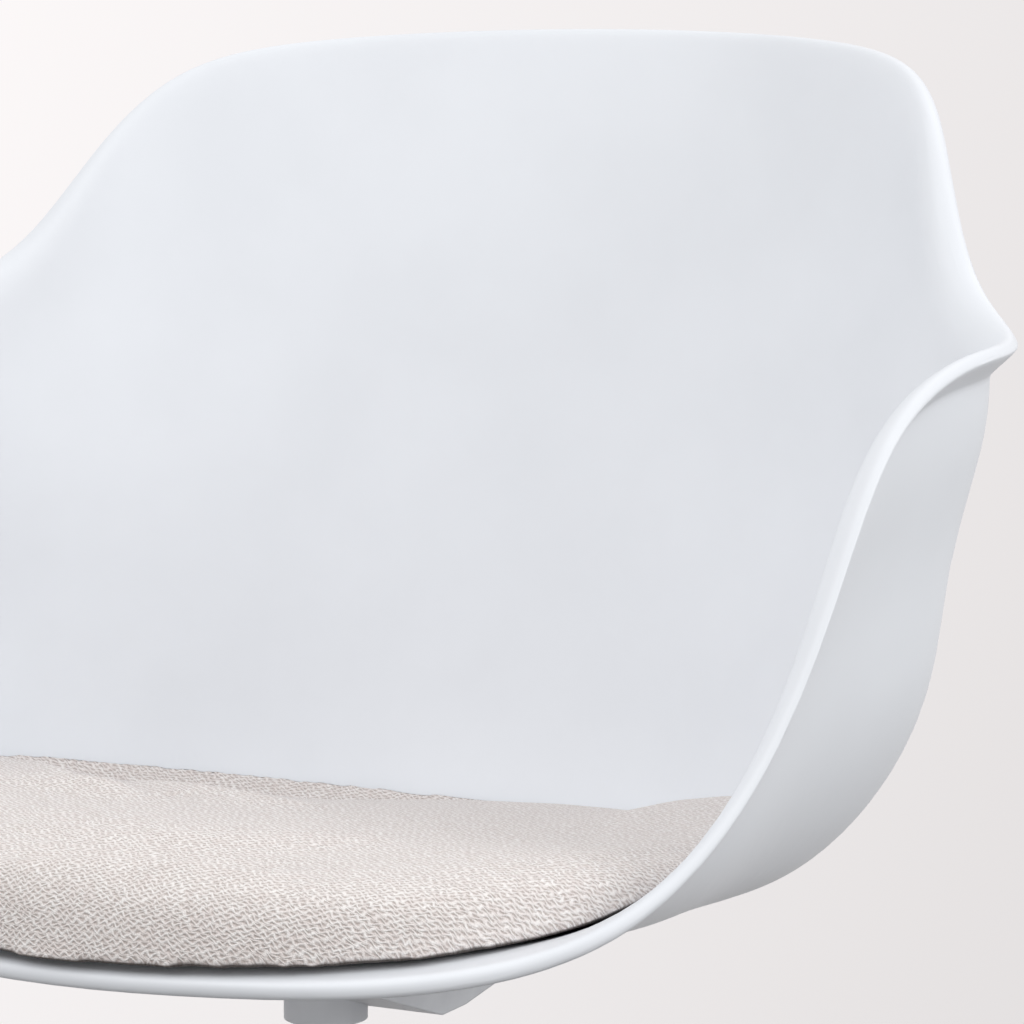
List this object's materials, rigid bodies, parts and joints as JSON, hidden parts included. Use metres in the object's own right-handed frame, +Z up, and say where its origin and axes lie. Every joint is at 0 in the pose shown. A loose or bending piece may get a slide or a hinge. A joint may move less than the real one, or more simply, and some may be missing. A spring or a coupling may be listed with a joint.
{
  "type": "office chair",
  "caption": "Swivel office armchair: white moulded bucket shell with a loose knitted seat pad on a tilt plate, height-adjustable gas column, star base and twin-wheel castors.",
  "frame": {"origin": "on the floor, on the column axis, where the castors stand", "axes": "+Z up along the column, -Y the way the sitter faces, +X to the sitter's left"},
  "size_m": [0.6591, 0.6402, 0.8448],
  "materials": {
    "shell_plastic": "fine satin, white",
    "pad_fabric": "chunky knitted weave, pale oatmeal",
    "board": "plain plywood",
    "grip": "hook and loop",
    "black_steel": "black powder coat",
    "cast_housing": "white coated casting",
    "steel": "bright zinc",
    "spring_steel": "oiled spring steel",
    "brass": "plain",
    "nylon": "natural nylon",
    "rubber": "plain",
    "handle_plastic": "fine grain",
    "column_chrome": "polished",
    "base_aluminium": "satin polished",
    "castor_plastic": "fine grain",
    "wheel_plastic": "soft tread, satin"
  },
  "bodies": {
    "base": {"star_base": "base_aluminium", "column_tube": "column_chrome", "column_bush": "nylon", "bearing_race": "steel"},
    "rod": {"piston_rod": "steel", "piston": "steel", "rod_clip": "spring_steel", "bearing_washer": "steel", "stop_buffer": "rubber"},
    "lift": {"gas_cylinder": "column_chrome", "rod_guide": "nylon", "mechanism_housing": "cast_housing", "axle_bushes": "nylon", "tilt_springs": "spring_steel", "lever_pin": "steel"},
    "lever": {"lever_arm": "black_steel", "lever_handle": "handle_plastic"},
    "valve": {"valve_pin": "steel"},
    "seat": {"seat_shell": "shell_plastic", "shell_inserts": "brass", "seat_cushion": "pad_fabric", "cushion_board": "board", "cushion_patches": "grip", "seat_plate": "black_steel", "plate_screws": "steel", "tilt_axle": "steel", "axle_clips": "spring_steel", "tilt_buffers": "rubber"},
    "castor_1": {"castor_1_body": "castor_plastic", "castor_1_stem": "steel", "castor_1_axle": "steel"},
    "castor_1_wheel_left": {"castor_1_wheel_left": "wheel_plastic"},
    "castor_1_wheel_right": {"castor_1_wheel_right": "wheel_plastic"},
    "castor_2": {"castor_2_body": "castor_plastic", "castor_2_stem": "steel", "castor_2_axle": "steel"},
    "castor_2_wheel_left": {"castor_2_wheel_left": "wheel_plastic"},
    "castor_2_wheel_right": {"castor_2_wheel_right": "wheel_plastic"},
    "castor_3": {"castor_3_body": "castor_plastic", "castor_3_stem": "steel", "castor_3_axle": "steel"},
    "castor_3_wheel_left": {"castor_3_wheel_left": "wheel_plastic"},
    "castor_3_wheel_right": {"castor_3_wheel_right": "wheel_plastic"},
    "castor_4": {"castor_4_body": "castor_plastic", "castor_4_stem": "steel", "castor_4_axle": "steel"},
    "castor_4_wheel_left": {"castor_4_wheel_left": "wheel_plastic"},
    "castor_4_wheel_right": {"castor_4_wheel_right": "wheel_plastic"},
    "castor_5": {"castor_5_body": "castor_plastic", "castor_5_stem": "steel", "castor_5_axle": "steel"},
    "castor_5_wheel_left": {"castor_5_wheel_left": "wheel_plastic"},
    "castor_5_wheel_right": {"castor_5_wheel_right": "wheel_plastic"}
  },
  "joints": [
    {"name": "seat_swivel", "type": "hinge", "parent": "base", "child": "rod", "pos_m": [0, 0, 0.06], "axis": [0, 0, 1], "continuous": true},
    {"name": "seat_height", "type": "slide", "parent": "rod", "child": "lift", "axis": [0, 0, 1], "range_m": [0, 0.12]},
    {"name": "seat_tilt", "type": "hinge", "parent": "lift", "child": "seat", "pos_m": [0, -0.05, 0.402], "axis": [-1, 0, 0], "range_deg": [0, 12], "stiffness_Nm_per_rad": 60, "springref_deg": -20.05, "deforming": ["tilt_springs"]},
    {"name": "height_lever", "type": "hinge", "parent": "lift", "child": "lever", "pos_m": [-0.05, 0, 0.3978], "axis": [0, 1, 0], "range_deg": [0, 5], "stiffness_Nm_per_rad": 0.5, "springref_deg": -11.46},
    {"name": "valve_press", "type": "slide", "parent": "lift", "child": "valve", "axis": [0, 0, -1], "range_m": [0, 0.0045]},
    {"name": "castor_1_swivel", "type": "hinge", "parent": "base", "child": "castor_1", "pos_m": [0, 0.312, 0.074], "axis": [0, 0, 1], "continuous": true},
    {"name": "castor_1_wheel_left_spin", "type": "hinge", "parent": "castor_1", "child": "castor_1_wheel_left", "pos_m": [-0.02, 0.312, 0.03], "axis": [0, -1, 0], "continuous": true},
    {"name": "castor_1_wheel_right_spin", "type": "hinge", "parent": "castor_1", "child": "castor_1_wheel_right", "pos_m": [-0.02, 0.312, 0.03], "axis": [0, -1, 0], "continuous": true},
    {"name": "castor_2_swivel", "type": "hinge", "parent": "base", "child": "castor_2", "pos_m": [-0.29673, 0.09641, 0.074], "axis": [0, 0, 1], "continuous": true},
    {"name": "castor_2_wheel_left_spin", "type": "hinge", "parent": "castor_2", "child": "castor_2_wheel_left", "pos_m": [-0.30291, 0.07739, 0.03], "axis": [0.9511, -0.309, 0], "continuous": true},
    {"name": "castor_2_wheel_right_spin", "type": "hinge", "parent": "castor_2", "child": "castor_2_wheel_right", "pos_m": [-0.30291, 0.07739, 0.03], "axis": [0.9511, -0.309, 0], "continuous": true},
    {"name": "castor_3_swivel", "type": "hinge", "parent": "base", "child": "castor_3", "pos_m": [-0.18339, -0.25241, 0.074], "axis": [0, 0, 1], "continuous": true},
    {"name": "castor_3_wheel_left_spin", "type": "hinge", "parent": "castor_3", "child": "castor_3_wheel_left", "pos_m": [-0.16721, -0.26417, 0.03], "axis": [0.5878, 0.809, 0], "continuous": true},
    {"name": "castor_3_wheel_right_spin", "type": "hinge", "parent": "castor_3", "child": "castor_3_wheel_right", "pos_m": [-0.16721, -0.26417, 0.03], "axis": [0.5878, 0.809, 0], "continuous": true},
    {"name": "castor_4_swivel", "type": "hinge", "parent": "base", "child": "castor_4", "pos_m": [0.18339, -0.25241, 0.074], "axis": [0, 0, 1], "continuous": true},
    {"name": "castor_4_wheel_left_spin", "type": "hinge", "parent": "castor_4", "child": "castor_4_wheel_left", "pos_m": [0.19957, -0.24066, 0.03], "axis": [-0.5878, 0.809, 0], "continuous": true},
    {"name": "castor_4_wheel_right_spin", "type": "hinge", "parent": "castor_4", "child": "castor_4_wheel_right", "pos_m": [0.19957, -0.24066, 0.03], "axis": [-0.5878, 0.809, 0], "continuous": true},
    {"name": "castor_5_swivel", "type": "hinge", "parent": "base", "child": "castor_5", "pos_m": [0.29673, 0.09641, 0.074], "axis": [0, 0, 1], "continuous": true},
    {"name": "castor_5_wheel_left_spin", "type": "hinge", "parent": "castor_5", "child": "castor_5_wheel_left", "pos_m": [0.29055, 0.11543, 0.03], "axis": [-0.9511, -0.309, 0], "continuous": true},
    {"name": "castor_5_wheel_right_spin", "type": "hinge", "parent": "castor_5", "child": "castor_5_wheel_right", "pos_m": [0.29055, 0.11543, 0.03], "axis": [-0.9511, -0.309, 0], "continuous": true}
  ],
  "couplings": [
    {"joint": "valve_press", "follows": "height_lever", "m_per_rad": 0.05}
  ]
}
